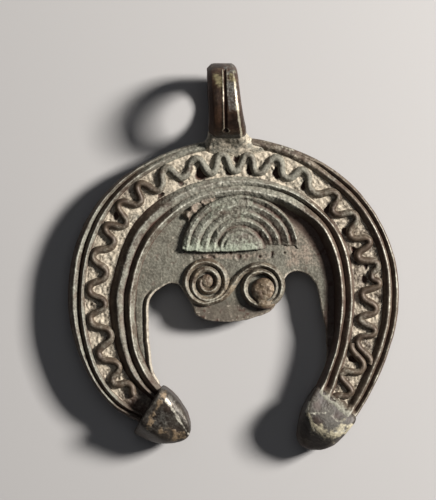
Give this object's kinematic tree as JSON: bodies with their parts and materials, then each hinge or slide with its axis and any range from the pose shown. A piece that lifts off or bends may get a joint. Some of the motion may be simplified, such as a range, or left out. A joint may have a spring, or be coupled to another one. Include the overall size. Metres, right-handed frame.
{
  "type": "bronze crescent pendant",
  "caption": "Cast bronze crescent pendant with beaded rims, a wavy wire, a scroll plate, faceted knobs at its ends and a round ring bail, lying on its back.",
  "frame": {"origin": "on the surface that the pendant lies on, under the middle of its length and width", "axes": "+X right, +Y up towards the bail as the pendant hangs, +Z out of its ornamented face"},
  "size_m": [0.0598, 0.0698, 0.0138],
  "materials": {
    "bronze": "aged cast bronze, dark in the hollows and worn on the ridges"
  },
  "bodies": {
    "root": {"crescent_pendant": "bronze"}
  },
  "joints": []
}
